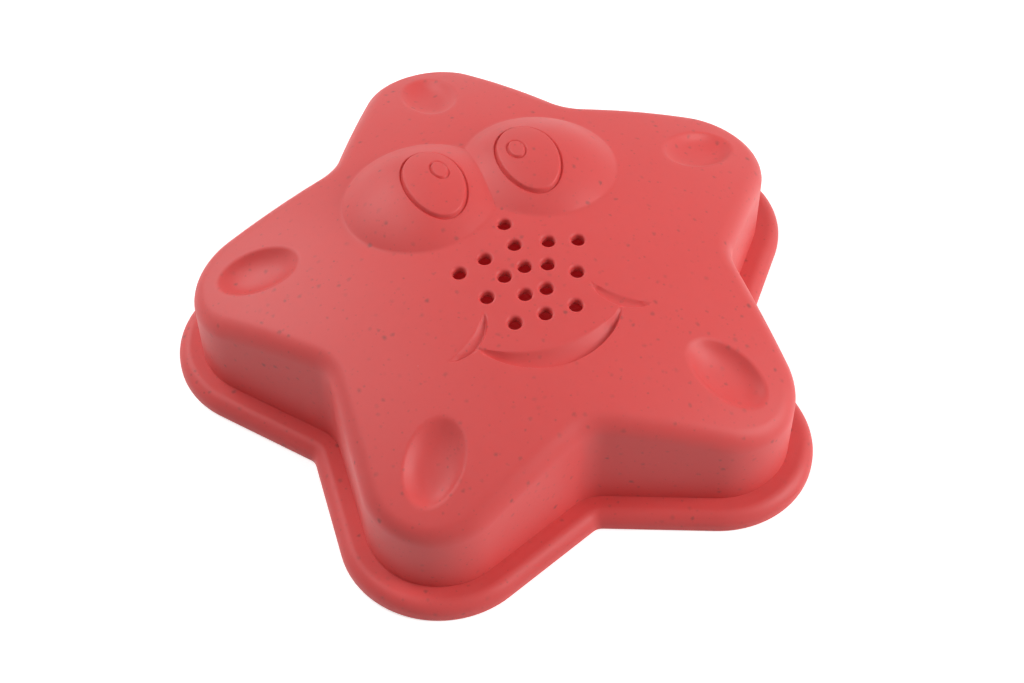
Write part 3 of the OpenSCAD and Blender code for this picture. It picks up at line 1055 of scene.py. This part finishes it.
def seen_directly(tree):
    """1 for rays from the camera, glossy and clear surfaces, and 0 for light that falls on things."""
    path = tree.nodes.new("ShaderNodeLightPath")
    seen = path.outputs["Is Camera Ray"]
    for label in ("Is Glossy Ray", "Is Transmission Ray"):
        both = tree.nodes.new("ShaderNodeMath")
        both.operation = "MAXIMUM"
        tree.links.new(seen, both.inputs[0])
        tree.links.new(path.outputs[label], both.inputs[1])
        seen = both.outputs[0]
    return seen


def floor_sheet(name, colour, strength):
    """The sheet's material, with a glow seen only by direct rays: an even white, or painted red light under
    the toy.
    """
    shader = Shader(name)
    shader.surface.inputs["Base Color"].default_value = (FLOOR_WHITE, FLOOR_WHITE, FLOOR_WHITE, 1.0)
    shader.surface.inputs["Roughness"].default_value = 0.9
    shader.surface.inputs["Specular IOR Level"].default_value = 0.0
    shader.surface.inputs["Emission Color"].default_value = colour
    glow = shader.math("MULTIPLY", seen_directly(shader.tree), strength)
    shader.put(shader.surface.inputs["Emission Strength"], glow)
    return shader.material


under_rim = outline + (rim_reach - wall / 2) * outward
far_away = FLOOR_REACH * under_rim / np.linalg.norm(under_rim, axis=1)[:, None]
ring = np.arange(band)
ring_faces = list(zip(ring, ring + band, np.roll(ring, -1) + band, np.roll(ring, -1)))
flat = np.column_stack([np.vstack([under_rim, far_away]), np.zeros(2 * band)]) + star_middle
floor = new_piece("floor", flat, ring_faces + [tuple(ring)])
floor.data.materials.append(floor_sheet("white_sheet", (1.0, 1.0, 1.0, 1.0), FLOOR_GLOW))
# The star-shaped face under the toy glows in a painted red that stands in for light through the plastic.
floor.data.materials.append(floor_sheet("sheet_under_toy_painted_red_glow", PAINTED_THROUGH_RED, 1.0))
floor.data.polygons[band].material_index = 1
print("Floor:", len(floor.data.polygons), "faces,", len(floor.data.materials), "sheets")

# %% [markdown]
# A weak even light comes from all round, and five soft lamps shape the toy: the main pair stands on the
# right, one is behind, and a weaker pair on the left opens the shadows. Their strengths were matched to
# the light in the photograph. An environment image could light the set too, but lamps say plainly where
# each highlight comes from.

# %% Light the set
SKY_LIGHT = 0.2
LAMP_SIZE = 0.45

world = bpy.data.worlds.new("studio")
world.use_nodes = True
sky = world.node_tree.nodes["Background"]
white_to_camera = world.node_tree.nodes.new("ShaderNodeMapRange")
world.node_tree.links.new(seen_directly(world.node_tree), white_to_camera.inputs["Value"])
white_to_camera.inputs["To Min"].default_value = SKY_LIGHT
white_to_camera.inputs["To Max"].default_value = 1.0
world.node_tree.links.new(white_to_camera.outputs[0], sky.inputs["Strength"])
sky.inputs["Color"].default_value = (1.0, 1.0, 1.0, 1.0)
bpy.context.scene.world = world


def soft_lamp(name, azimuth, elevation, power):
    """A soft lamp a metre away that faces the toy; azimuth 0 is in front of it and 90 on its right."""
    turn, rise = math.radians(azimuth), math.radians(elevation)
    lamp = bpy.data.lights.new(name, "AREA")
    lamp.shape = "SQUARE"
    lamp.size = LAMP_SIZE
    lamp.energy = power
    holder = bpy.data.objects.new(name, lamp)
    bpy.context.scene.collection.objects.link(holder)
    away = Vector((math.sin(turn) * math.cos(rise), -math.cos(turn) * math.cos(rise), math.sin(rise)))
    holder.location = away
    holder.rotation_euler = away.to_track_quat("Z", "Y").to_euler()


soft_lamp("key_lamp", 60, 35, 5.7)
soft_lamp("low_key_lamp", 60, 15, 1.7)
soft_lamp("back_lamp", 210, 35, 3.6)
soft_lamp("left_lamp", 240, 60, 2.2)
soft_lamp("low_left_lamp", 240, 15, 0.6)
bpy.context.scene.view_settings.view_transform = "Standard"
print("Lamps:", [lamp.name for lamp in bpy.data.lights])

# %% [markdown]
# ## The camera
#
# The photograph looks down on the toy from in front and a little to its left, with a long lens. The
# distance, the angles and the lens come from matching the star's outline, so the camera is set by them
# and aimed at the point of the floor that lies in the middle of the picture.

# %% Set the camera
camera_azimuth = math.radians(-19.52)
camera_elevation = math.radians(51.76)
camera_roll = math.radians(-0.72)
camera_distance = 456.2
aim = Vector((0.44, -5.11, 0.0))

camera = bpy.data.objects.new("camera", bpy.data.cameras.new("camera"))
bpy.context.scene.collection.objects.link(camera)
camera.data.sensor_width = 36.0
camera.data.lens = 69.37
back = Vector((math.sin(camera_azimuth) * math.cos(camera_elevation),
               -math.cos(camera_azimuth) * math.cos(camera_elevation),
               math.sin(camera_elevation)))
look = back.to_track_quat("Z", "Y").to_matrix() @ Matrix.Rotation(camera_roll, 3, "Z")
camera.matrix_world = Matrix.Translation((aim + back * camera_distance) * MM) @ look.to_4x4()
bpy.context.scene.camera = camera
print("Camera at", [round(value, 4) for value in camera.matrix_world.translation])
